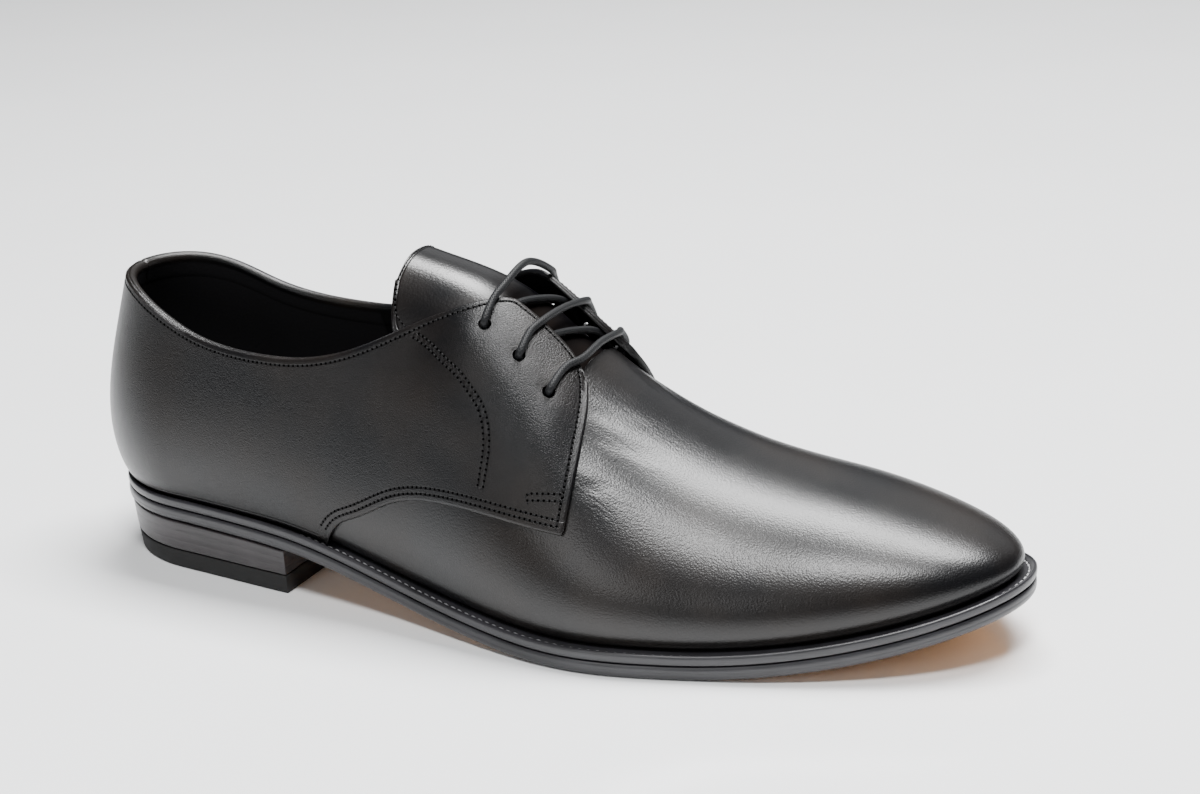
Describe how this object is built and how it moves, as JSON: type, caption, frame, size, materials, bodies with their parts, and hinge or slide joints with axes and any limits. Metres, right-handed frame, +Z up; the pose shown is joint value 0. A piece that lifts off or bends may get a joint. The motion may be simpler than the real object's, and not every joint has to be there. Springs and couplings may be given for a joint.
{
  "type": "derby shoe",
  "caption": "Plain-toe derby shoe for the right foot in smooth black leather, open laced over a tongue, on a stitched welt, leather outsole and low stacked heel.",
  "frame": {"origin": "on the floor, under the middle of the shoe's box", "axes": "+X from heel to toe, +Y to the inner (medial) side of the right foot, +Z up"},
  "size_m": [0.3084, 0.1074, 0.1081],
  "materials": {
    "upper_leather": "polished smooth calf",
    "sole_leather": "tan oak-bark leather",
    "edge_leather": "black inked and waxed edge",
    "stacked_leather": "dark inked stack",
    "insole_leather": "matte black lining leather",
    "heel_rubber": "matte",
    "lace_cord": "waxed woven cord"
  },
  "bodies": {
    "root": {"outsole": "sole_leather", "welt": "edge_leather", "heel_stack": "stacked_leather", "top_piece": "heel_rubber", "insole": "insole_leather", "upper": "upper_leather", "quarter_lateral": "upper_leather", "quarter_medial": "upper_leather", "tongue": "upper_leather", "laces": "lace_cord"}
  },
  "joints": []
}
